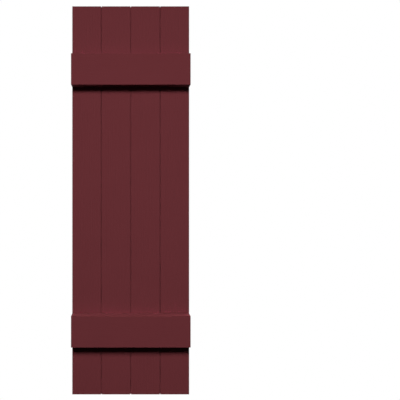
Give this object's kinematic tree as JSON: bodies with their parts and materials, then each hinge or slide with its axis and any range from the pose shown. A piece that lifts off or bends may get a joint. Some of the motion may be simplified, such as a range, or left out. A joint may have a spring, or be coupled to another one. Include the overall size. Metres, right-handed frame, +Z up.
{
  "type": "board and batten shutter",
  "caption": "Flat exterior window shutter: upright tongue-and-groove boards with narrow gaps between their faces, held by an upper and a lower batten screwed on from behind. Fixes flat to a wall.",
  "frame": {"origin": "middle of the flat back face, on the wall", "axes": "+X across the face to the right as seen from the front, +Y into the wall, +Z up along the boards"},
  "size_m": [0.3556, 0.0444, 1.1812],
  "materials": {
    "board": "satin wine-red paint on cellular PVC",
    "batten": "satin wine-red paint on cellular PVC",
    "screw": "zinc-plated steel"
  },
  "bodies": {
    "root": {"board_1": "board", "board_2": "board", "board_3": "board", "board_4": "board", "upper_batten": "batten", "lower_batten": "batten"}
  },
  "joints": []
}
